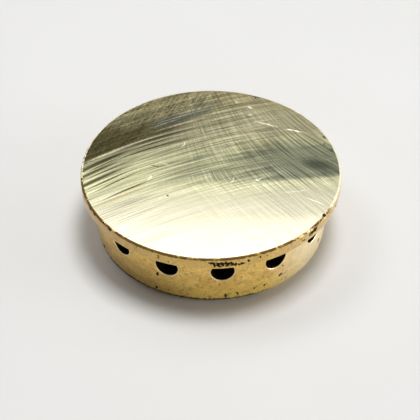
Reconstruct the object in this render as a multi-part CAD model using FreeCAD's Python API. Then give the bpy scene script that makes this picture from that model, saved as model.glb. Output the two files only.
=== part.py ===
import FreeCAD, Part
import math
import os

# Gas burner cap: one brass piece, a flat disc on a set-back skirt with a ring of flame ports.
# Millimetres. The origin is the centre of the foot rim, +Z points up through the disc.

# Whole cap
cap_height = 13.2
disc_diameter = 50.0

# Disc, whose side stands out over the skirt
disc_thickness = 2.4
disc_overhang = 1.85
disc_top_round = 0.4
disc_lower_chamfer = 0.2

# Skirt, drawn in towards the foot by the casting draft; its wall is measured at the foot
skirt_wall = 2.55
skirt_draft_deg = 3.0
foot_chamfer = 0.25

# Gas chamber, open at the foot
roof_thickness = 2.6
roof_chamfer = 0.4
mouth_chamfer = 0.4

# Flame ports, drilled straight in towards the axis; the first one faces -Y
port_count = 14
port_diameter = 4.3
port_below_disc = 0.8

disc_radius = disc_diameter / 2
disc_underside = cap_height - disc_thickness
neck_radius = disc_radius - disc_overhang
foot_radius = neck_radius - disc_underside * math.tan(math.radians(skirt_draft_deg))
chamber_radius = foot_radius - skirt_wall
chamber_roof = cap_height - roof_thickness
port_axis_height = disc_underside - port_below_disc - port_diameter / 2

origin = FreeCAD.Vector(0, 0, 0)
axis_up = FreeCAD.Vector(0, 0, 1)
front = FreeCAD.Vector(0, -1, 0)


def ring_edges(shape, radius, height):
    """The full circles of a turned shape that have this radius at this height."""
    found = []
    for edge in shape.Edges:
        curve = edge.Curve
        if not isinstance(curve, Part.Circle):
            continue
        same_radius = math.isclose(curve.Radius, radius, abs_tol=edge.Tolerance)
        same_height = math.isclose(curve.Center.z, height, abs_tol=edge.Tolerance)
        if same_radius and same_height:
            found.append(edge)
    return found


def turned_body():
    """The cap before drilling: its half-section turned about Z, then its corners eased."""
    half_section = [
        (0, chamber_roof),
        (chamber_radius, chamber_roof),
        (chamber_radius, 0),
        (foot_radius, 0),
        (neck_radius, disc_underside),
        (disc_radius, disc_underside),
        (disc_radius, cap_height),
        (0, cap_height),
    ]
    points = [FreeCAD.Vector(radius, 0, height) for radius, height in half_section]
    outline = Part.makePolygon(points + points[:1])
    body = Part.Face(outline).revolve(origin, axis_up, 360)
    body = body.makeFillet(disc_top_round, ring_edges(body, disc_radius, cap_height))
    chamfers = [
        (disc_lower_chamfer, disc_radius, disc_underside),
        (foot_chamfer, foot_radius, 0),
        (mouth_chamfer, chamber_radius, 0),
        (roof_chamfer, chamber_radius, chamber_roof),
    ]
    for size, radius, height in chamfers:
        body = body.makeChamfer(size, ring_edges(body, radius, height))
    return body


def port_drills():
    """One drill per port, each running from inside the chamber out past the disc."""
    start = FreeCAD.Vector(0, port_diameter - chamber_radius, port_axis_height)
    reach = disc_radius - chamber_radius + port_diameter
    drill = Part.makeCylinder(port_diameter / 2, reach, start, front)
    drills = []
    for index in range(port_count):
        turned = drill.copy()
        turned.rotate(origin, axis_up, index * 360 / port_count)
        drills.append(turned)
    return drills


burner_cap = turned_body().cut(port_drills()).Solids[0]

os.makedirs("parts", exist_ok=True)
burner_cap.exportStep("parts/burner_cap.step")
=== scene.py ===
import math
import random

import bmesh
import bpy
from mathutils import Matrix, Vector, noise


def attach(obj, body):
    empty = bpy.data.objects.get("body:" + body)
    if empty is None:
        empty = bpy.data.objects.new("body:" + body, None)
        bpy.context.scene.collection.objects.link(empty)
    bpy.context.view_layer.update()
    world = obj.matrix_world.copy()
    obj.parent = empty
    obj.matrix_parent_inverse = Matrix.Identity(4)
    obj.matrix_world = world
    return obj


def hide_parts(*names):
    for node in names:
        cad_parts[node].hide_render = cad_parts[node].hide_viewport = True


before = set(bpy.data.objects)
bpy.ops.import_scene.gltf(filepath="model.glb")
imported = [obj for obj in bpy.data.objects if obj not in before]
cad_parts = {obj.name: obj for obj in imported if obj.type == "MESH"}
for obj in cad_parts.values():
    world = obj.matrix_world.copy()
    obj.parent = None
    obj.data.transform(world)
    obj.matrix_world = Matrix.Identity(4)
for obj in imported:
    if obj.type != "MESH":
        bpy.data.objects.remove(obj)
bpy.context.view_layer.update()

# Gas burner cap, one brass piece. Lengths are in millimetres, turns in degrees from -Y towards +X
MM = 0.001

# Sizes of the cap as in the solid, with the disc a hair smaller to stay inside the solid's box
CAP_HEIGHT = 13.2
DISC_RADIUS = 24.995
DISC_UNDERSIDE = 10.8
TOP_ROUND = 0.4
LOWER_CHAMFER = 0.2
FLAT_RADIUS = DISC_RADIUS - TOP_ROUND
NECK_RADIUS = 23.15
SKIRT_DRAFT = math.tan(math.radians(3.0))
SKIRT_WALL = 2.55
FOOT_RADIUS = NECK_RADIUS - DISC_UNDERSIDE * SKIRT_DRAFT
FOOT_CHAMFER = 0.25
CHAMBER_RADIUS = FOOT_RADIUS - SKIRT_WALL
CHAMBER_ROOF = 10.6
MOUTH_CHAMFER = 0.4
ROOF_CHAMFER = 0.4
PORTS = 14
PORT_RADIUS = 2.15
PORT_HEIGHT = 7.85
PORT_BREAK = 0.08
PORT_RIM = PORT_RADIUS + PORT_BREAK

# Mesh fineness: steps along each edge of one port's share of a wall, and from the port to that edge
EDGE_STEPS = 36
SKIRT_STEPS = 16
WALL_STEPS = 2
TURN_STEPS = PORTS * EDGE_STEPS

# The disc's side has finer steps round it, and these rows down it and over its rounded edge
FINER = 3
SIDE_STEPS = 14
ROUND_STEPS = 6

# Radii of the rings of the flat top and of the chamber's roof
TOP_RINGS = (0.0, 6.0, 12.0, 18.0, 22.0, 24.0)
ROOF_RINGS = (14.0, 7.0, 0.0)

# One more ring of the top lies this far inside its rounded edge
TOP_LAST_STEP = 0.05

# Points that fall on the same of these steps in a millimetre are one
MERGE_STEPS = 1e4

# Places nearer than this count as the same height or radius
TOLERANCE = 0.01

# Faces that meet at more than this angle keep a sharp edge
SHARP_ANGLE = math.radians(40)

# Finish of a face, as the index of its material
TOP, CAST, INSIDE = 0, 1, 2

# Wear of the side: (turn, height, half width, half height, depth)
DISC_PITS = [
    (-27.0, 12.15, 0.22, 0.34, 0.14), (-22.6, 11.6, 0.14, 0.16, 0.08), (10.2, 12.1, 0.20, 0.34, 0.14),
    (15.0, 12.35, 0.20, 0.26, 0.14), (18.0, 12.3, 0.16, 0.14, 0.08), (6.2, 12.5, 0.18, 0.12, 0.08),
    (35.0, 12.3, 0.26, 0.24, 0.12), (36.2, 11.6, 0.34, 0.30, 0.12), (41.3, 11.95, 0.58, 0.46, 0.16),
    (43.6, 12.2, 0.58, 0.54, 0.16), (48.0, 12.95, 0.40, 0.16, 0.12), (-57.0, 12.95, 0.60, 0.16, 0.14),
    (-52.2, 12.85, 0.46, 0.18, 0.12), (-64.0, 12.8, 0.70, 0.18, 0.14), (-68.5, 12.6, 0.40, 0.30, 0.12),
    (51.4, 13.0, 0.36, 0.30, 0.24), (-37.0, 12.6, 0.12, 0.10, 0.06), (28.0, 11.9, 0.12, 0.12, 0.06),
]
SKIRT_PITS = [
    (-30.5, 5.1, 0.24, 0.34, 0.14), (29.5, 2.75, 0.34, 0.42, 0.16), (15.2, 1.95, 0.24, 0.26, 0.10),
    (20.6, 1.85, 0.24, 0.22, 0.10), (7.5, 1.5, 0.26, 0.24, 0.12), (1.5, 1.25, 0.30, 0.34, 0.14),
    (-31.5, 1.1, 0.26, 0.34, 0.12), (60.0, 2.8, 0.30, 0.40, 0.10), (-71.5, 0.9, 0.40, 0.50, 0.16),
    (-1.4, 4.6, 0.16, 0.30, 0.06), (30.0, 5.3, 0.14, 0.20, 0.06), (-25.5, 1.6, 0.20, 0.26, 0.08),
    (-14.0, 0.9, 0.24, 0.20, 0.08), (38.5, 9.3, 0.30, 0.24, 0.10), (-60.5, 9.6, 0.40, 0.24, 0.10),
]
SCORED_LINE = [
    (-5.7, 12.35, 0.24, 0.20, 0.16), (-4.9, 12.15, 0.24, 0.46, 0.18), (-3.9, 11.85, 0.26, 0.46, 0.20),
    (-3.1, 12.05, 0.24, 0.46, 0.18), (-2.2, 11.75, 0.28, 0.50, 0.20), (-1.2, 11.95, 0.26, 0.58, 0.20),
    (-0.2, 11.80, 0.28, 0.48, 0.20), (0.8, 12.00, 0.28, 0.54, 0.20), (1.8, 11.80, 0.28, 0.44, 0.20),
    (2.8, 11.90, 0.26, 0.52, 0.18), (3.7, 11.70, 0.32, 0.34, 0.18), (4.8, 11.65, 0.30, 0.40, 0.18),
    (5.9, 11.60, 0.36, 0.24, 0.16), (7.0, 11.62, 0.26, 0.34, 0.16), (8.0, 11.70, 0.26, 0.18, 0.12),
]

# A pit's border wanders by this much, in degrees and in height; its reach and stain are squared radii
PIT_TURN_WANDER = 0.5
PIT_HEIGHT_WANDER = 0.16
PIT_REACH = 2.2
PIT_STAIN = (0.5, 2.0)

# Small pits strewn where none are listed: (count, lowest, highest, first clear turn, last clear turn)
STREWN_SEED = 7
STREWN_ON_DISC = (34, DISC_UNDERSIDE + 0.4, CAP_HEIGHT - 0.3, -70, 62)
STREWN_ON_SKIRT = (26, 0.5, 5.0, -75, 66)
STREWN_SIZE = (0.1, 0.24)
STREWN_HEIGHT_SHARE = (0.8, 1.6)
STREWN_DEPTH_SHARE = 0.45

# Stretches of wear: (first turn, last turn, softness of the first end, softness of the last end)
RAGGED_RIM = (-112.0, -72.0, 6.0, 6.0)
TARNISHED_RIM = (-88.0, 58.0, 8.0, 8.0)
# The dark band along the front of the foot is dirt and painted contact shade
FOOT_DIRT_AND_SHADE = (-70.0, 22.0, 10.0, 12.0)

# A nick in the rim: (turn, half width, depth)
RIM_NICK = (152.3, 1.1, 0.34)

# Bands at the rim where wear fades in towards the top: (distance below it where it starts, where it is full)
RAGGED_BAND = (1.2, 0.2)
NICK_BAND = (0.9, 0.2)
SPECKLE_BAND = (0.7, 0.3)
TARNISH_BAND = (0.42, 0.22)
# The pale band along the rim is a painted highlight on bared metal
BARED_HIGHLIGHT_BAND = (0.35, 0.1)

# Bands at the foot where wear fades out upwards: (height where it is full, where it ends)
FOOT_WAVES_BAND = (0.05, 0.7)
# The foot's dark band is dirt and painted contact shade
FOOT_DIRT_AND_SHADE_BAND = (0.3, 0.9)

# Depths of wear, the inner part of the wall that has none, and the width of the pale ring round a port, bared
# metal with a painted highlight
RAGGED_DEPTH = 0.34
FOOT_WAVES = 0.16
DEEPEST_WEAR = 0.4
UNWORN_WALL = 1.0
PORT_HIGHLIGHT_WIDTH = 0.16

# Marks on the top: (x, y, half length, half width, angle); those of streaks are places along the passes
DARK_STREAKS = [
    (-21.6, 12.5, 5.6, 0.62, 0.0), (-22.2, 10.6, 4.6, 0.5, 0.0), (-21.6, 8.0, 5.4, 0.5, 0.0),
    (-20.5, 11.5, 3.2, 0.2, 2.0), (-20.0, 9.3, 4.0, 0.2, -2.0), (-19.5, 6.4, 4.2, 0.26, 0.0),
    (-18.5, 4.9, 3.6, 0.2, 2.0), (-9.5, 13.2, 6.8, 0.34, -3.0), (-11.0, 10.7, 7.5, 0.26, -4.0),
    (-16.0, 1.4, 4.0, 0.22, 0.0), (-10.5, 12.0, 4.5, 0.2, -2.0),
]
GREY_STREAKS = [
    (-5.0, -0.4, 5.5, 0.3, 0.0), (-3.5, 0.9, 5.0, 0.26, 0.0), (-7.5, 2.0, 4.0, 0.24, 0.0),
    (-1.0, -1.5, 4.5, 0.26, 0.0), (-2.0, 3.4, 4.0, 0.24, 0.0), (-9.0, 4.2, 3.2, 0.2, 0.0),
    (0.0, 18.3, 4.0, 0.5, 0.0), (1.0, 19.6, 4.0, 0.35, 0.0), (-1.5, 17.2, 3.0, 0.3, 0.0),
]
# Light streaks are sanded lines, painted lighter as a sheen where they catch the light
SANDED_SHEEN_STREAKS = [
    (-17.0, 14.0, 7.5, 0.42, -3.0), (-22.0, 11.6, 4.0, 0.3, 0.0), (-21.0, 9.3, 5.0, 0.4, 0.0),
    (-3.0, 15.3, 8.0, 0.3, 0.0), (11.0, 16.9, 6.0, 0.3, 0.0), (8.0, 7.6, 11.0, 0.22, 0.0),
    (-4.5, 17.9, 4.0, 0.16, 2.0), (-7.0, 17.1, 3.0, 0.12, 3.0), (-2.5, 18.9, 3.4, 0.14, 0.0),
]
TAN_STREAKS = [(-18.0, 0.2, 5.0, 0.7, 0.0)]
DIM_HOLLOWS = [(-11.5, 11.4, 8.5, 2.6, 0.0)]
BLUE_PATCHES = [(-6.3, 17.4, 4.6, 1.4, 0.0)]
FAINT_BLUE_PATCHES = [(-1.5, 20.2, 5.0, 0.6, 0.0)]
NICKS = [
    (12.9, 12.2, 2.3, 0.12, -28.0), (18.4, 9.5, 2.2, 0.11, -23.0), (7.7, 20.2, 0.6, 0.10, -30.0),
    (10.2, 18.0, 0.5, 0.14, -50.0), (9.9, 15.6, 0.5, 0.12, -25.0), (-4.3, 7.2, 0.9, 0.08, 62.0),
    (-11.3, -2.3, 0.9, 0.08, 66.0), (9.1, -4.5, 1.0, 0.10, 28.0), (15.5, -8.4, 2.0, 0.07, 5.0),
    (-8.1, 1.6, 0.8, 0.08, -38.0), (4.1, -4.3, 0.9, 0.07, 60.0), (-1.9, 20.0, 0.7, 0.08, 60.0),
    (18.9, -11.6, 1.6, 0.07, -38.0),
]
SPECKS = [
    (-8.8, -7.5, 0.22, 0.22, 0.0), (11.2, 21.2, 0.16, 0.4, 0.0), (-10.6, 1.2, 1.0, 0.12, -20.0),
    (23.2, 7.0, 0.22, 0.5, 30.0), (23.9, 2.8, 0.16, 0.5, 10.0), (22.9, 4.9, 0.14, 0.3, -30.0),
]

# The dark patch at the right, placed along the cross passes and across them
RIGHT_PATCH = [(-1.3, 19.6, 2.0, 2.4, 0.0)]

# Passes of the sanding: lean and bow of the tarnish that follows them, and of the strokes themselves
TARNISH_LEAN, TARNISH_BOW = -0.27, 0.008
STROKE_LEAN, STROKE_BOW = -0.29, 0.005

# Cross passes: how they lean and fan out behind a line across the top, and lean in front of it
FAN_START = -4.0
FAN_LEAN = 0.222
FAN_SPREAD = 0.0279
FRONT_LEAN = 0.55

# Levels of noise between which strokes and finer hairs fade
STROKE_LEVELS = (0.36, 0.64)
HAIR_LEVELS = (0.34, 0.66)

# Colours of the top
BRASS_BACK = (0.80, 0.74, 0.455)
BRASS_MIDDLE = (0.77, 0.755, 0.455)
# Paler brass for the front of the top: a painted highlight that whitens the reflection there
BRASS_PAINTED_HIGHLIGHT = (0.80, 0.755, 0.56)
BROWN_FILM = (0.76, 0.67, 0.36)
GREY_FILM = (0.30, 0.32, 0.22)
OLIVE_FILM = (0.12, 0.10, 0.033)
SLATE_FILM = (0.12, 0.135, 0.085)
BLUE_FILM = (0.17, 0.19, 0.16)
GREY_STREAK = (0.28, 0.31, 0.22)
TAN_STREAK = (0.62, 0.52, 0.27)
# Colour of the light streaks: sanded metal with a painted sheen
SANDED_SHEEN_STREAK = (0.9, 0.82, 0.55)
DARK_STREAK = (0.07, 0.06, 0.018)
TORN_METAL = (1.0, 0.96, 0.8)
SPECK = (0.05, 0.05, 0.03)

# Colours of the side
OCHRE_DARK = (0.78, 0.505, 0.095)
OCHRE_LIGHT = (0.97, 0.695, 0.17)
# Lighter ochre low on the front of the skirt: painted light
OCHRE_PAINTED_LIGHT = (1.0, 0.725, 0.175)
OCHRE_GRAIN = (0.54, 0.33, 0.08)
REDDISH = (0.62, 0.26, 0.07)
STAIN = (0.38, 0.21, 0.045)
FLECK = (0.30, 0.14, 0.03)
DOT = (0.18, 0.08, 0.02)
# Paler brass for the right of the side: painted sheen
SHEEN_PALE = (0.98, 0.88, 0.66)
# Darker brass for the disc's side: painted shade
DISC_PAINTED_SHADE = (0.42, 0.27, 0.08)
# Darker brass for low on the front left of the skirt: painted shade
LOW_LEFT_PAINTED_SHADE = (0.36, 0.23, 0.06)
SCRATCH = (0.22, 0.11, 0.03)
# Pale metal for the rim and the port rings: bared metal with a painted highlight
BARED_METAL_HIGHLIGHT = (0.95, 0.88, 0.66)
CRUST = (0.085, 0.045, 0.012)
# Near-black crust at the foot: dirt and painted contact shade
FOOT_CRUST_AND_SHADE = (0.02, 0.012, 0.005)
PIT_DIRT = (0.026, 0.013, 0.004)

# Colours of the inside, painted near black as shade, and of the floor
INSIDE_SHADE_DARK = (0.003, 0.002, 0.0015)
INSIDE_SHADE_LIGHT = (0.016, 0.010, 0.004)
ROOF_SHADE_DARK = (0.02, 0.014, 0.008)
ROOF_SHADE_LIGHT = (0.12, 0.075, 0.03)
FLOOR_DARK = (0.45, 0.447, 0.44)
FLOOR_LIGHT = (0.48, 0.477, 0.47)


def smooth(value, start, end):
    """Smooth change from 0 at start to 1 at end."""
    s = min(max((value - start) / (end - start), 0.0), 1.0)
    return s * s * (3 - 2 * s)


def uneven(*place):
    """Smooth noise round 0 at a place."""
    return noise.noise(Vector(place))


def skirt_radius(z):
    return FOOT_RADIUS + z * SKIRT_DRAFT


def bore_radius(z):
    """The chamber's radius, the same at every height."""
    return CHAMBER_RADIUS


class Shell:
    """Faces gathered as points, merged where they meet."""

    def __init__(self):
        self.index = {}
        self.points = []
        self.faces = []
        self.kinds = []

    def vertex(self, point):
        key = tuple(round(c * MERGE_STEPS) for c in point)
        if key not in self.index:
            self.index[key] = len(self.points)
            self.points.append(point)
        return self.index[key]

    def face(self, corners, kind):
        ids = []
        for corner in corners:
            i = self.vertex(corner)
            if i not in ids:
                ids.append(i)
        if len(ids) > 2:
            self.faces.append(ids)
            self.kinds.append(kind)

    def grid(self, rows, kind):
        """Closed rows of points, each joined to the next row."""
        for a, b in zip(rows, rows[1:]):
            n = len(a)
            for i in range(n):
                j = (i + 1) % n
                self.face((a[i], a[j], b[j], b[i]), kind)

    def coarsen(self, fine, coarse, kind):
        """A fine closed row joined to one with fewer points."""
        n = len(coarse)
        for i in range(n):
            part = [fine[(i * FINER + k) % len(fine)] for k in range(FINER + 1)]
            self.face((coarse[i], coarse[(i + 1) % n], *reversed(part)), kind)


def turn_point(radius, turn, z):
    """A point at a turn in radians."""
    return (radius * math.sin(turn), -radius * math.cos(turn), z)


def ring(radius, z, steps=TURN_STEPS):
    step = 2 * math.pi / steps
    return [turn_point(radius, i * step - math.pi / PORTS, z) for i in range(steps)]


def fine_ring(radius, z):
    return ring(radius, z, TURN_STEPS * FINER)


def tile_border(low, high):
    """Border of one port's share of a wall, as (turn, z), anticlockwise from its lower left."""
    half = math.pi / PORTS
    n = EDGE_STEPS
    across = [-half + 2 * half * i / n for i in range(n)]
    up = [low + (high - low) * i / n for i in range(n)]
    border = [(t, low) for t in across]
    border += [(half, z) for z in up]
    border += [(-t, high) for t in across]
    border += [(-half, low + high - z) for z in up]
    return border


def wall_tile(shell, port, low, high, radius_at, steps, rim_radius, kind):
    """One port's share of a wall: spokes from the port's rim out to the border. Returns their aims."""
    centre = 2 * math.pi * port / PORTS
    spokes = []
    aims = []
    for turn, z in tile_border(low, high):
        aim = math.atan2(z - PORT_HEIGHT, radius_at(z) * turn)
        rim_z = PORT_HEIGHT + rim_radius * math.sin(aim)
        rim_turn = math.asin(rim_radius * math.cos(aim) / radius_at(rim_z))
        spoke = []
        for k in range(steps + 1):
            s = k / steps
            t = rim_turn + (turn - rim_turn) * s
            h = rim_z + (z - rim_z) * s
            spoke.append(turn_point(radius_at(h), centre + t, h))
        spokes.append(spoke)
        aims.append(aim)
    shell.grid(list(zip(*spokes)), kind)
    return aims


def port_wall(shell, port, aims_out, aims_in):
    """The drilled wall between the skirt's outside and the chamber, with its outer edge just broken."""
    centre = 2 * math.pi * port / PORTS

    def row(share, radius, sunk):
        points = []
        for aim_out, aim_in in zip(aims_out, aims_in):
            aim = aim_out + (aim_in - aim_out) * share
            x = radius * math.cos(aim)
            z = PORT_HEIGHT + radius * math.sin(aim)
            outer = math.sqrt(skirt_radius(z) ** 2 - x * x) - sunk
            inner = math.sqrt(CHAMBER_RADIUS ** 2 - x * x)
            y = outer + (inner - outer) * share
            points.append(turn_point(math.hypot(x, y), centre + math.atan2(x, y), z))
        return points

    walls = [row(i / WALL_STEPS, PORT_RADIUS, PORT_BREAK) for i in range(WALL_STEPS + 1)]
    shell.grid([row(0.0, PORT_RIM, 0.0), walls[0]], CAST)
    shell.grid(walls, INSIDE)


def unwrapped(aims, like):
    """Angles shifted by whole turns to lie near those of another list."""
    return [a - 2 * math.pi * round((a - b) / (2 * math.pi)) for a, b in zip(aims, like)]


def build_disc(shell):
    """The flat top, its rounded edge, the disc's side and the underside out from the neck."""
    last_ring = FLAT_RADIUS - TOP_LAST_STEP
    shell.grid([ring(r, CAP_HEIGHT) for r in TOP_RINGS], TOP)
    shell.coarsen(fine_ring(last_ring, CAP_HEIGHT), ring(TOP_RINGS[-1], CAP_HEIGHT), TOP)
    shell.grid([fine_ring(last_ring, CAP_HEIGHT), fine_ring(FLAT_RADIUS, CAP_HEIGHT)], TOP)
    low_side = DISC_UNDERSIDE + LOWER_CHAMFER
    high_side = CAP_HEIGHT - TOP_ROUND
    rows = []
    for i in range(ROUND_STEPS + 1):
        a = math.pi / 2 * i / ROUND_STEPS
        rows.append(fine_ring(FLAT_RADIUS + TOP_ROUND * math.sin(a), high_side + TOP_ROUND * math.cos(a)))
    for i in range(1, SIDE_STEPS + 1):
        rows.append(fine_ring(DISC_RADIUS, high_side + (low_side - high_side) * i / SIDE_STEPS))
    under = DISC_RADIUS - LOWER_CHAMFER
    rows.append(fine_ring(under, DISC_UNDERSIDE))
    shell.grid(rows, CAST)
    middle = (under + NECK_RADIUS) / 2
    shell.coarsen(rows[-1], ring(middle, DISC_UNDERSIDE), CAST)
    shell.grid([ring(middle, DISC_UNDERSIDE), ring(NECK_RADIUS, DISC_UNDERSIDE)], CAST)


def build_shell():
    """The whole surface of the cap: disc, pierced skirt, foot and chamber."""
    shell = Shell()
    build_disc(shell)
    bore_high = CHAMBER_ROOF - ROOF_CHAMFER
    for port in range(PORTS):
        aims_out = wall_tile(shell, port, FOOT_CHAMFER, DISC_UNDERSIDE, skirt_radius, SKIRT_STEPS,
                             PORT_RIM, CAST)
        aims_in = wall_tile(shell, port, MOUTH_CHAMFER, bore_high, bore_radius, WALL_STEPS,
                            PORT_RADIUS, INSIDE)
        port_wall(shell, port, aims_out, unwrapped(aims_in, aims_out))
    foot_out = FOOT_RADIUS - FOOT_CHAMFER
    foot_in = CHAMBER_RADIUS + MOUTH_CHAMFER
    foot = [ring(r, 0.0) for r in (foot_out, (foot_out + foot_in) / 2, foot_in)]
    shell.grid([ring(skirt_radius(FOOT_CHAMFER), FOOT_CHAMFER), *foot], CAST)
    shell.grid([foot[-1], ring(CHAMBER_RADIUS, MOUTH_CHAMFER)], CAST)
    roof = [ring(r, CHAMBER_ROOF) for r in (CHAMBER_RADIUS - ROOF_CHAMFER, *ROOF_RINGS)]
    shell.grid([ring(CHAMBER_RADIUS, bore_high), *roof], INSIDE)
    return shell


def strewn_pits(count, low, high, clear_from, clear_to):
    """Small pits strewn over the part of the side that has none listed."""
    pits = []
    while len(pits) < count:
        turn = dice.uniform(-180, 180)
        z = dice.uniform(low, high)
        size = dice.uniform(*STREWN_SIZE)
        if not clear_from < turn < clear_to:
            half_height = size * dice.uniform(*STREWN_HEIGHT_SHARE)
            pits.append((turn, z, size, half_height, size * STREWN_DEPTH_SHARE))
    return pits


def pit_at(pits, turn, z, radius):
    """Depth and darkness that a list of pits gives at one place."""
    depth = dark = 0.0
    turn += PIT_TURN_WANDER * uneven(turn * 0.9, z * 2.3, 4.0)
    z += PIT_HEIGHT_WANDER * uneven(turn * 1.1, z * 1.9, 6.0)
    for pit_turn, pit_z, half_width, half_height, pit_depth in pits:
        across = math.radians((turn - pit_turn + 180) % 360 - 180) * radius / half_width
        rise = (z - pit_z) / half_height
        reach = across * across + rise * rise
        if reach < PIT_REACH:
            depth = max(depth, pit_depth * (1 - smooth(reach, 0.0, PIT_REACH)))
            dark = max(dark, 1 - smooth(reach, *PIT_STAIN))
    return depth, dark


def within(turn, stretch):
    """1 on a stretch of wear, fading to 0 round both its ends."""
    first, last, soft_first, soft_last = stretch
    begun = smooth(turn, first - soft_first, first + soft_first)
    return begun * (1 - smooth(turn, last - soft_last, last + soft_last))


def near_top(z, far, near):
    """Smooth change from 0 at one distance below the top to 1 at a nearer one."""
    return smooth(z, CAP_HEIGHT - far, CAP_HEIGHT - near)


def disc_wear(turn, z, radius):
    """Wear of the disc's side and edge: its depth, how pitted and tarnished the metal is, and how pale along
    the rim as a painted highlight on bared metal.
    """
    depth, dark = pit_at(disc_pits, turn, z, radius)
    ragged = within(turn, RAGGED_RIM)
    bite = max(0.0, uneven(turn * 1.3, z * 1.5, 5.0))
    depth += bite * RAGGED_DEPTH * ragged * near_top(z, *RAGGED_BAND)
    nick_turn, nick_half, nick_depth = RIM_NICK
    from_nick = abs(math.radians(turn - nick_turn) * radius) / nick_half
    depth += nick_depth * (1 - smooth(from_nick, 0.4, 1.0)) * near_top(z, *NICK_BAND)
    front = within(turn, TARNISHED_RIM)
    patchy = 0.75 + 0.7 * uneven(turn * 0.35, 1.0, z * 0.8)
    rim = front * patchy * near_top(z + 0.1 * uneven(turn, 9.0, 0.0), *TARNISH_BAND)
    speckle = smooth(uneven(turn * 1.1, z * 2.5, 7.0), 0.02, 0.25)
    rim = max(rim, ragged * speckle * near_top(z, *SPECKLE_BAND))
    # Pale along the rim beyond the tarnished stretch: a painted highlight on bared metal
    bared_and_highlight = (1 - front) * near_top(z, *BARED_HIGHLIGHT_BAND)
    return depth, dark, rim, bared_and_highlight


def skirt_wear(turn, z, radius):
    """Wear of the skirt: its depth, how pitted and tarnished the metal is, and how pale round the ports as a
    painted highlight on bared metal; along the front of the foot the tarnish is dirt and painted contact
    shade.
    """
    depth, dark = pit_at(skirt_pits, turn, z, radius)
    foot_edge = 1 - smooth(z, *FOOT_WAVES_BAND)
    depth += foot_edge * FOOT_WAVES * max(0.0, uneven(turn * 0.45, 2.0, 8.0) + 0.1)
    nearest_port = round(turn * PORTS / 360) * 360 / PORTS
    aside = radius * math.sin(math.radians(turn - nearest_port))
    from_port = math.hypot(aside, z - PORT_HEIGHT)
    # A pale ring round each port: bared edge metal with a painted highlight
    bared_and_highlight = 0.5 - 0.5 * smooth(from_port, PORT_RIM, PORT_RIM + PORT_HIGHLIGHT_WIDTH)
    # A dark band along the foot at the front: dirt, and painted contact shade
    border = z + 0.12 * uneven(turn * 0.8, 3.0, 0.0)
    rim = within(turn, FOOT_DIRT_AND_SHADE) * (1 - smooth(border, *FOOT_DIRT_AND_SHADE_BAND))
    return depth, dark, rim, bared_and_highlight


def worn(point):
    """A point of the outer surface moved inwards by its wear, and how pitted, tarnished and pale it is; pale
    is bared metal with a painted highlight.
    """
    x, y, z = point
    radius = math.hypot(x, y)
    turn = math.degrees(math.atan2(x, -y))
    wear = (0.0, 0.0, 0.0, 0.0)
    on_disc = z > DISC_UNDERSIDE + TOLERANCE
    if on_disc and radius > FLAT_RADIUS - TOLERANCE:
        wear = disc_wear(turn, z, radius)
    elif not on_disc and radius > CHAMBER_RADIUS + UNWORN_WALL and z > TOLERANCE:
        wear = skirt_wear(turn, z, radius)
    depth, *shares = wear
    if depth:
        kept = 1 - min(depth, DEEPEST_WEAR) / radius
        x, y = x * kept, y * kept
    return (x, y, z), [min(max(share, 0.0), 1.0) for share in shares]


dice = random.Random(STREWN_SEED)
disc_pits = DISC_PITS + SCORED_LINE + strewn_pits(*STREWN_ON_DISC)
skirt_pits = SKIRT_PITS + strewn_pits(*STREWN_ON_SKIRT)

# The cap's mesh, with its wear kept as attributes for the finish of the side
shell = build_shell()
worn_points = [worn(point) for point in shell.points]
mesh = bpy.data.meshes.new("cap_skin")
mesh.from_pydata([[c * MM for c in point] for point, shares in worn_points], [], shell.faces)
mesh.polygons.foreach_set("material_index", shell.kinds)
for which, name in enumerate(("pit", "rim", "bared_and_highlight")):
    layer = mesh.attributes.new(name, "FLOAT", "POINT")
    layer.data.foreach_set("value", [shares[which] for point, shares in worn_points])
work = bmesh.new()
work.from_mesh(mesh)
bmesh.ops.recalc_face_normals(work, faces=work.faces)
work.to_mesh(mesh)
work.free()
mesh.polygons.foreach_set("use_smooth", [True] * len(mesh.polygons))
mesh.set_sharp_from_angle(angle=SHARP_ANGLE)

cap = bpy.data.objects.new("cap_skin", mesh)
bpy.context.scene.collection.objects.link(cap)
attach(cap, "root")
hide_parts("burner_cap")


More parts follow.
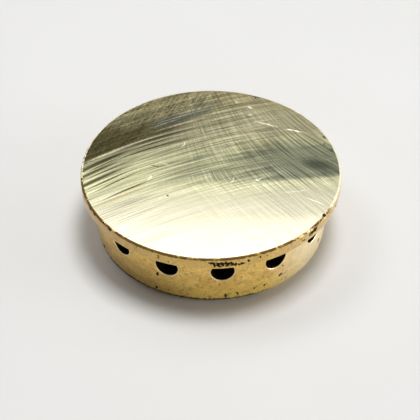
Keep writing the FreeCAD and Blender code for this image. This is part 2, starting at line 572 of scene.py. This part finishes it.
class Graph:
    """Short forms for the nodes of one tree."""

    def __init__(self, tree):
        self.nodes = tree.nodes
        self.links = tree.links

    def feed(self, socket, value):
        if isinstance(value, bpy.types.NodeSocket):
            self.links.new(value, socket)
        else:
            socket.default_value = value

    def node(self, kind, inputs, **settings):
        made = self.nodes.new("ShaderNode" + kind)
        for name, value in settings.items():
            setattr(made, name, value)
        for name, value in inputs.items():
            self.feed(made.inputs[name], value)
        return made.outputs

    def math(self, operation, a, b=0.0):
        return self.node("Math", {0: a, 1: b}, operation=operation)[0]

    def times(self, first, *others):
        for other in others:
            first = self.math("MULTIPLY", first, other)
        return first

    def plus(self, first, *others):
        for other in others:
            first = self.math("ADD", first, other)
        return first

    def most(self, first, *others):
        for other in others:
            first = self.math("MAXIMUM", first, other)
        return first

    def centred(self, value):
        """A value from 0 to 1 moved to lie round 0."""
        return self.plus(value, -0.5)

    def fade(self, value, start, end, low=0.0, high=1.0):
        """Smooth change from low at start to high at end; for x, y and z these are places in millimetres."""
        return self.node("MapRange", {0: value, 1: start, 2: end, 3: low, 4: high},
                         interpolation_type="SMOOTHSTEP")[0]

    def joined(self, x, y, z=0.0):
        return self.node("CombineXYZ", {0: x, 1: y, 2: z})[0]

    def noise(self, vector, scale, detail=2.0):
        return self.node("TexNoise", {"Vector": vector, "Scale": scale, "Detail": detail})[0]

    def stretched(self, vector, along, across, angle=0.0, detail=2.0):
        """Noise drawn out into streaks: their length and width, and their direction in degrees."""
        drawn = self.node("Mapping", {"Vector": vector, "Rotation": (0, 0, math.radians(angle)),
                                      "Scale": (along, across, 1)}, vector_type="TEXTURE")[0]
        return self.noise(drawn, 1.0, detail)

    def spots(self, vector, places, soft):
        """1 inside any of several ellipses, fading to 0 across their edges."""
        found = []
        for x, y, half_length, half_width, angle in places:
            inside = self.node("Mapping", {"Vector": vector, "Location": (x, y, 0),
                                           "Scale": (half_length, half_width, 1000),
                                           "Rotation": (0, 0, math.radians(angle))}, vector_type="TEXTURE")[0]
            far = self.node("VectorMath", {0: inside}, operation="LENGTH")[1]
            found.append(self.fade(far, 1 + soft, 1 - soft))
        return self.most(*found)

    def mix(self, share, a, b):
        """Colour a, and colour b by a share; a colour is three numbers or a socket."""
        made = self.nodes.new("ShaderNodeMix")
        made.data_type = "RGBA"
        self.feed(made.inputs[0], share)
        for socket, colour in ((6, a), (7, b)):
            self.feed(made.inputs[socket], (*colour, 1) if isinstance(colour, tuple) else colour)
        return made.outputs[2]

    def layered(self, colour, layers):
        """A colour under several layers, from the lowest: (where, how strong, its colour)."""
        for where, strength, paint in layers:
            colour = self.mix(self.times(where, strength), colour, paint)
        return colour


class Surface(Graph):
    """The nodes of one material, with the place on the object in millimetres."""

    def __init__(self, name):
        self.material = bpy.data.materials.new(name)
        self.material.use_nodes = True
        super().__init__(self.material.node_tree)
        place = self.node("TexCoord", {})["Object"]
        self.mm = self.node("VectorMath", {0: place, 3: 1 / MM}, operation="SCALE")[0]
        self.x, self.y, self.z = self.node("SeparateXYZ", {0: self.mm})

    def attribute(self, name):
        return self.node("Attribute", {}, attribute_name=name)["Fac"]

    def bump(self, height):
        """The normal of a height given in millimetres."""
        return self.node("Bump", {"Height": height, "Distance": MM, "Strength": 1.0})[0]

    def finish(self, **inputs):
        for name, value in inputs.items():
            self.feed(self.nodes["Principled BSDF"].inputs[name.replace("_", " ")], value)
        return self.material


class SandedTop(Surface):
    """The flat top: brass sanded in long bowed passes, cross-sanded on the right, tarnished in patches."""

    def __init__(self):
        super().__init__("brass_sanded")
        self.across = self.across_passes(TARNISH_LEAN, TARNISH_BOW)
        self.flow = self.joined(self.x, self.across)
        self.ragged = self.times(self.centred(self.stretched(self.flow, 16.0, 0.9)), 2.4)
        self.ragged_across = self.plus(self.across, self.ragged)
        self.ragged_flow = self.joined(self.x, self.ragged_across)
        self.cloudy_y = self.plus(self.y, self.times(self.centred(self.noise(self.mm, 0.22)), 7.0))
        self.sand()
        self.nick()

    def across_passes(self, lean, bow):
        """Distance across passes that lean and bow."""
        return self.plus(self.y, self.times(self.x, lean), self.times(self.x, self.x, bow))

    def strokes(self, vector, along, across):
        return self.fade(self.stretched(vector, along, across), *STROKE_LEVELS)

    def hairs(self, vector, along, across, angle=0.0, detail=0.0):
        return self.fade(self.stretched(vector, along, across, angle, detail), *HAIR_LEVELS)

    def sand(self):
        """The strokes of both ways of sanding, and where on the top each of them shows."""
        x, y = self.x, self.y
        passes = self.joined(x, self.across_passes(STROKE_LEAN, STROKE_BOW))
        self.wide = self.strokes(passes, 34.0, 1.5)
        self.fine = self.strokes(passes, 15.0, 0.42)
        self.hair = self.hairs(passes, 9.0, 0.17)
        behind = self.most(y, FAN_START)
        in_front = self.plus(y, self.times(behind, -1.0))
        self.lean = self.plus(x, self.times(behind, FAN_LEAN), self.times(x, behind, FAN_SPREAD),
                              self.times(in_front, FRONT_LEAN))
        crosswise = self.joined(y, self.lean)
        self.cross = self.strokes(crosswise, 13.0, 0.30)
        self.cross_hair = self.hairs(crosswise, 9.0, 0.16)
        self.back_hair = self.hairs(self.mm, 6.0, 0.3, 60.0, 2.0)
        self.left = self.fade(x, -9.0, -20.0)
        self.right = self.fade(x, -12.0, 5.0)
        self.back_left = self.times(self.fade(self.across, 14.0, 19.0), self.fade(x, 8.0, -2.0))
        self.worked = self.fade(y, -10.0, -2.5, 0.3, 1.0)
        self.swept = self.times(
            self.fade(x, 17.0, 9.0, 0.25, 1.0),
            self.most(self.fade(y, -9.0, -3.5, 0.2, 1.0), self.fade(x, -6.0, -11.0, 0.2, 0.7)))
        self.hatched = self.plus(1.0, self.times(self.fade(x, 6.0, 13.0), self.fade(y, 12.0, 6.0), 0.9))

    def nick(self):
        """Short bright nicks along slightly crooked lines, torn open in places."""
        bend = self.noise(self.mm, 0.9)
        crooked = self.joined(self.plus(self.x, bend), self.plus(self.y, self.times(bend, -1.2), 0.6))
        self.nicks = self.spots(crooked, NICKS, 0.6)
        self.torn = self.times(self.nicks, self.fade(self.noise(self.mm, 1.7), 0.36, 0.56, 0.5, 1.0))

    def tarnished(self):
        """Colour of the untarnished and tarnished brass, paler at the front as a painted highlight, before
        the strokes of sanding.
        """
        x, y = self.x, self.y
        cross_wave = self.centred(self.cross)
        self.grey_edge = self.plus(y, self.times(self.ragged, 0.22), self.times(cross_wave, 0.9))
        grey = self.times(self.fade(self.grey_edge, -5.9, -4.2), self.fade(self.ragged_across, 5.4, 1.2),
                          self.fade(x, -5.0, 15.0))
        slate_place = self.joined(self.plus(y, self.times(cross_wave, 1.6)), self.lean)
        slate = self.spots(slate_place, RIGHT_PATCH, 0.55)
        olive_edge = self.plus(self.across, self.times(self.ragged, 0.35))
        self.olive = self.times(self.fade(olive_edge, 13.5, 14.5),
                                self.fade(self.plus(x, self.times(self.ragged, 2.0)), 5.0, -9.0))
        blue = self.most(self.spots(self.ragged_flow, BLUE_PATCHES, 0.6),
                         self.times(self.spots(self.ragged_flow, FAINT_BLUE_PATCHES, 0.6), 0.4))
        brass = self.mix(self.fade(y, 10.0, 4.0), BRASS_BACK, BRASS_MIDDLE)
        return self.layered(brass, [
            # paler towards the front: painted highlight
            (self.fade(y, -2.0, -13.0), 1.0, BRASS_PAINTED_HIGHLIGHT),
            (self.fade(self.cloudy_y, 15.0, 20.0), 0.9, BROWN_FILM),
            (grey, 0.85, GREY_FILM),
            (self.olive, self.fade(self.cloudy_y, 22.0, 11.0, 0.3, 0.95), OLIVE_FILM),
            (slate, 0.9, SLATE_FILM),
            (blue, 0.8, BLUE_FILM),
            (self.spots(self.ragged_flow, GREY_STREAKS, 0.7), 0.7, GREY_STREAK),
            (self.spots(self.flow, TAN_STREAKS, 0.6), 0.5, TAN_STREAK),
            # light streaks: sanded lines with a painted sheen
            (self.spots(self.flow, SANDED_SHEEN_STREAKS, 0.75), 0.7, SANDED_SHEEN_STREAK),
            (self.spots(self.flow, DARK_STREAKS, 0.6), 0.9, DARK_STREAK),
        ])

    def tone(self):
        """How much lighter or darker the brass is, by its broad shades and by the strokes."""
        x, y = self.x, self.y
        wave = self.centred
        grain = self.fade(self.noise(self.mm, 2.4), 0.3, 0.7)
        cross_share = self.times(self.right, self.hatched, self.worked)
        return self.plus(
            1.0,
            self.times(self.fade(self.grey_edge, -5.6, -4.1), self.fade(x, -14.0, -2.0), -0.24),
            # darker at the left of the middle: painted shade that dims the left window's reflection
            self.times(self.fade(x, -4.0, -19.0), self.fade(y, -13.0, -7.0), self.fade(y, 1.0, 6.0, 0.5, 1.0),
                       -0.14),
            self.times(self.spots(self.flow, DIM_HOLLOWS, 0.6), -0.26),
            self.times(self.fade(y, -17.5, -13.5), self.fade(y, -6.0, -9.0), -0.1),
            self.times(self.fade(x, 4.0, 16.0), self.fade(y, -18.0, -14.0), self.fade(y, -3.0, -6.0), -0.13),
            self.times(wave(self.wide), self.swept, self.fade(self.left, 0.0, 1.0, 0.2, 0.36)),
            self.times(wave(self.fine), self.swept, 0.3),
            self.times(wave(self.hair), self.swept, 0.34),
            self.times(wave(self.cross), cross_share, 0.24),
            self.times(wave(self.cross_hair), cross_share, 0.36),
            self.times(wave(self.back_hair), self.back_left, 0.45),
            self.times(wave(grain), self.olive, 0.5))

    def height(self):
        """Depth of the strokes and nicks."""
        return self.plus(
            self.times(self.wide, self.swept, self.fade(self.left, 0.0, 1.0, 0.0015, 0.003)),
            self.times(self.fine, self.swept, 0.0012),
            self.times(self.hair, self.swept, 0.0005),
            self.times(self.cross, self.right, self.worked, 0.0014),
            self.times(self.cross_hair, self.right, 0.0005),
            self.times(self.nicks, 0.004))

    def made(self):
        colour = self.tarnished()
        colour = self.node("VectorMath", {0: colour, 3: self.tone()}, operation="SCALE")[0]
        specks = self.spots(self.mm, SPECKS, 0.5)
        colour = self.layered(colour, [(self.torn, 1.0, TORN_METAL), (specks, 0.9, SPECK)])
        rough = self.plus(0.2, self.times(self.plus(self.fine, self.cross), 0.02))
        return self.finish(Base_Color=colour, Metallic=self.fade(self.torn, 0.0, 1.0, 1.0, 0.35),
                           Roughness=rough, Normal=self.bump(self.height()))


def cast_side():
    """The side: golden ochre brass, mottled, speckled and pitted, with a tarnished rim round the front."""
    g = Surface("brass_cast")
    mottle = g.fade(g.noise(g.mm, 0.55, 4.0), 0.34, 0.66)
    grain = g.fade(g.noise(g.mm, 3.2, 3.0), 0.3, 0.7)
    stain = g.fade(g.noise(g.mm, 1.1, 5.0), 0.52, 0.66)
    reddish = g.fade(g.noise(g.mm, 0.8, 3.0), 0.52, 0.68)
    flecks = g.fade(g.noise(g.mm, 2.6, 3.0), 0.57, 0.65)
    cells = g.node("TexVoronoi", {"Vector": g.mm, "Scale": 1.3})["Distance"]
    dots = g.times(g.fade(cells, 0.17, 0.08), g.fade(g.noise(g.mm, 0.5), 0.5, 0.56))
    slanted = g.joined(g.x, g.plus(g.z, g.times(g.y, 0.5)))
    scratch = g.fade(g.stretched(slanted, 2.2, 0.16, 12.0), 0.62, 0.7)

    # Painted light and shade on the side: lighter low at the front, a painted sheen on the right, painted
    # shade on the disc's side and low at the left
    # lighter low at the front: painted light
    painted_light_low_front = g.times(g.fade(g.z, 4.6, 1.6), g.fade(g.x, -11.0, -5.0), g.fade(g.y, 0.0, -8.0))
    # paler on the right: painted sheen
    painted_sheen_right = g.times(g.fade(g.x, 7.0, 18.0), g.fade(g.z, 12.4, 9.5, 0.4, 1.0))
    # the disc's side darker, most at the left and right: painted shade
    disc_shade_share = g.plus(0.4, g.fade(g.x, -12.0, -21.0, 0.0, 0.25), g.fade(g.x, 11.0, 17.0, 0.0, 0.2))
    # darker towards the foot at the front left: painted shade
    painted_shade_low_left = g.times(g.fade(g.x, -3.0, -14.0), g.fade(g.x, -21.5, -17.5, 0.35, 1.0), g.fade(g.z, 7.5, 1.5))

    # Wear kept on the mesh: bared metal with a painted highlight, a crust of tarnish, painted contact shade
    # along the front of the foot, and dirt in the pits
    bared_and_highlight = g.attribute("bared_and_highlight")
    # The rim share is tarnish on the disc's edge; along the front of the foot it is dirt and painted contact
    # shade, near black
    tarnish_and_foot_shade = g.fade(g.plus(g.attribute("rim"), g.times(g.centred(grain), 0.4)), 0.25, 0.65)
    crust_and_foot_shade = g.mix(g.fade(g.z, 1.2, 0.5), CRUST, FOOT_CRUST_AND_SHADE)
    strokes = g.fade(g.noise(g.joined(g.times(g.x, 2.6), g.y, g.times(g.z, 1.2)), 1.0), 0.3, 0.7)
    patchy = g.plus(0.05, g.times(strokes, 1.35), g.times(grain, 0.55))
    dirt = g.fade(g.times(g.attribute("pit"), patchy), 0.36, 0.56)
    covered = g.most(dirt, tarnish_and_foot_shade)

    colour = g.layered(g.mix(mottle, OCHRE_DARK, OCHRE_LIGHT), [
        (painted_light_low_front, 1.0, OCHRE_PAINTED_LIGHT),
        (grain, 0.3, OCHRE_GRAIN),
        (reddish, 0.25, REDDISH),
        (stain, 0.6, STAIN),
        (flecks, 0.34, FLECK),
        (dots, 0.4, DOT),
        (painted_sheen_right, 0.6, SHEEN_PALE),
        (g.fade(g.z, 10.8, 11.3), disc_shade_share, DISC_PAINTED_SHADE),
        (painted_shade_low_left, 0.58, LOW_LEFT_PAINTED_SHADE),
        (scratch, 0.45, SCRATCH),
        # pale rim and port rings: bared metal with a painted highlight
        (bared_and_highlight, 0.85, BARED_METAL_HIGHLIGHT),
        (tarnish_and_foot_shade, 0.95, crust_and_foot_shade),
        (dirt, 1.0, PIT_DIRT),
    ])
    height = g.plus(g.times(grain, 0.02), g.times(mottle, 0.05), g.times(dots, -0.05))
    rough = g.plus(0.42, g.times(grain, 0.12), g.times(covered, 0.3), g.times(bared_and_highlight, -0.15))
    shine = g.fade(covered, 0.0, 1.0, 0.7, 0.0)
    return g.finish(Base_Color=colour, Metallic=shine, Roughness=rough, Normal=g.bump(height),
                    Specular_IOR_Level=g.fade(covered, 0.0, 1.0, 0.5, 0.04),
                    Coat_Weight=shine, Coat_Roughness=0.3)


def shaded_inside():
    """Chamber and port walls: brass painted near black as shade, lighter on the roof."""
    g = Surface("brass_painted_shade")
    shade_mottle = g.fade(g.noise(g.mm, 0.7, 4.0), 0.35, 0.7)
    walls = g.mix(shade_mottle, INSIDE_SHADE_DARK, INSIDE_SHADE_LIGHT)
    roof = g.mix(shade_mottle, ROOF_SHADE_DARK, ROOF_SHADE_LIGHT)
    colour = g.mix(g.fade(g.z, 9.9, 10.5), walls, roof)
    return g.finish(Base_Color=colour, Metallic=0.0, Roughness=0.85, Specular_IOR_Level=0.06,
                    Normal=g.bump(g.times(shade_mottle, 0.05)))


for made in (SandedTop().made(), cast_side(), shaded_inside()):
    mesh.materials.append(made)

# Floor, its size in metres
FLOOR_SIZE = 3.0
bpy.ops.mesh.primitive_plane_add(size=FLOOR_SIZE, location=(0, 0, 0))
floor = bpy.context.object
floor.name = "floor"
paint = Surface("floor_pale")
shade = paint.noise(paint.mm, 0.02)
floor.data.materials.append(paint.finish(Base_Color=paint.mix(shade, FLOOR_DARK, FLOOR_LIGHT), Roughness=0.7))

# Camera: its lens, the place it looks at and from how far, and its bearing from +Y to +X, dip and roll
PHOTO_PIXELS = 420
FOCAL_PIXELS = 1006.0
SENSOR_WIDTH = 36.0
CAMERA_TARGET = Vector((-0.20, 0.02, 1.90))
CAMERA_DISTANCE = 200.86
CAMERA_BEARING = math.radians(5.172)
CAMERA_DIP = math.radians(42.782)
CAMERA_ROLL = math.radians(-0.053)


def bearing_vector(bearing, rise):
    """A unit vector along a bearing from +Y towards +X, rising by an angle."""
    flat = math.cos(rise)
    return Vector((flat * math.sin(bearing), flat * math.cos(bearing), math.sin(rise)))


camera = bpy.data.cameras.new("camera")
camera.sensor_width = SENSOR_WIDTH
camera.lens = FOCAL_PIXELS / PHOTO_PIXELS * SENSOR_WIDTH
view = bpy.data.objects.new("camera", camera)
bpy.context.scene.collection.objects.link(view)
ahead = bearing_vector(CAMERA_BEARING, -CAMERA_DIP)
level = bearing_vector(CAMERA_BEARING + math.pi / 2, 0.0)
right = level * math.cos(CAMERA_ROLL) + level.cross(ahead) * math.sin(CAMERA_ROLL)
facing = Matrix((right, right.cross(ahead), -ahead)).transposed().to_4x4()
view.matrix_world = Matrix.Translation((CAMERA_TARGET - CAMERA_DISTANCE * ahead) * MM) @ facing
bpy.context.scene.camera = view

# Room light: an even glow behind and to the sides, dimmer in front but for a low band
ROOM_COLOUR = (1.0, 1.0, 0.98, 1)
GLOW_EVERYWHERE = 0.04
GLOW_RIGHT = 0.6
GLOW_LEFT = 0.25
GLOW_BEHIND = 0.335
GLOW_FRONT = 0.1
room = bpy.data.worlds.new("studio")
room.use_nodes = True
bpy.context.scene.world = room
sky = Graph(room.node_tree)
gx, gy, gz = sky.node("SeparateXYZ", {0: sky.node("TexCoord", {})["Generated"]})
sides = sky.plus(sky.fade(gx, 0.35, 0.8, 0.0, GLOW_RIGHT), sky.fade(gx, -0.35, -0.8, 0.0, GLOW_LEFT))
glow = sky.plus(GLOW_EVERYWHERE, sky.times(sides, sky.fade(gz, 0.85, 0.5)),
                sky.fade(gy, -0.1, 0.5, 0.0, GLOW_BEHIND),
                sky.times(sky.fade(gy, 0.0, -0.6), sky.fade(gz, 0.42, 0.18), GLOW_FRONT))
sky.feed(sky.nodes["Background"].inputs["Color"], ROOM_COLOUR)
sky.feed(sky.nodes["Background"].inputs["Strength"], glow)

# Soft lights, their distance and size in metres: (name, bearing, elevation, width and height, watts)
LIGHT_DISTANCE = 0.6
SOFT_LIGHTS = [
    ("softbox", 5.0, 52.0, (0.42, 0.15), 0.38),
    ("overhead", 48.0, 80.0, (0.22, 0.22), 4.1),
    ("left_window", -48.0, 54.0, (0.24, 0.20), 1.0),
    ("side_lamp", 104.0, 10.0, (0.26, 0.09), 2.0),
    ("front_lamp", 188.0, 8.0, (0.30, 0.08), 0.66),
]


def soft_light(name, bearing, elevation, size, energy):
    """An area light aimed at the cap."""
    place = LIGHT_DISTANCE * bearing_vector(math.radians(bearing), math.radians(elevation))
    lamp = bpy.data.lights.new(name, "AREA")
    lamp.shape = "RECTANGLE"
    lamp.size, lamp.size_y = size
    lamp.energy = energy
    lamp_object = bpy.data.objects.new(name, lamp)
    lamp_object.location = place
    lamp_object.rotation_mode = "QUATERNION"
    lamp_object.rotation_quaternion = (-place).to_track_quat("-Z", "Y")
    bpy.context.scene.collection.objects.link(lamp_object)


for light in SOFT_LIGHTS:
    soft_light(*light)

bpy.context.scene.view_settings.view_transform = "Standard"
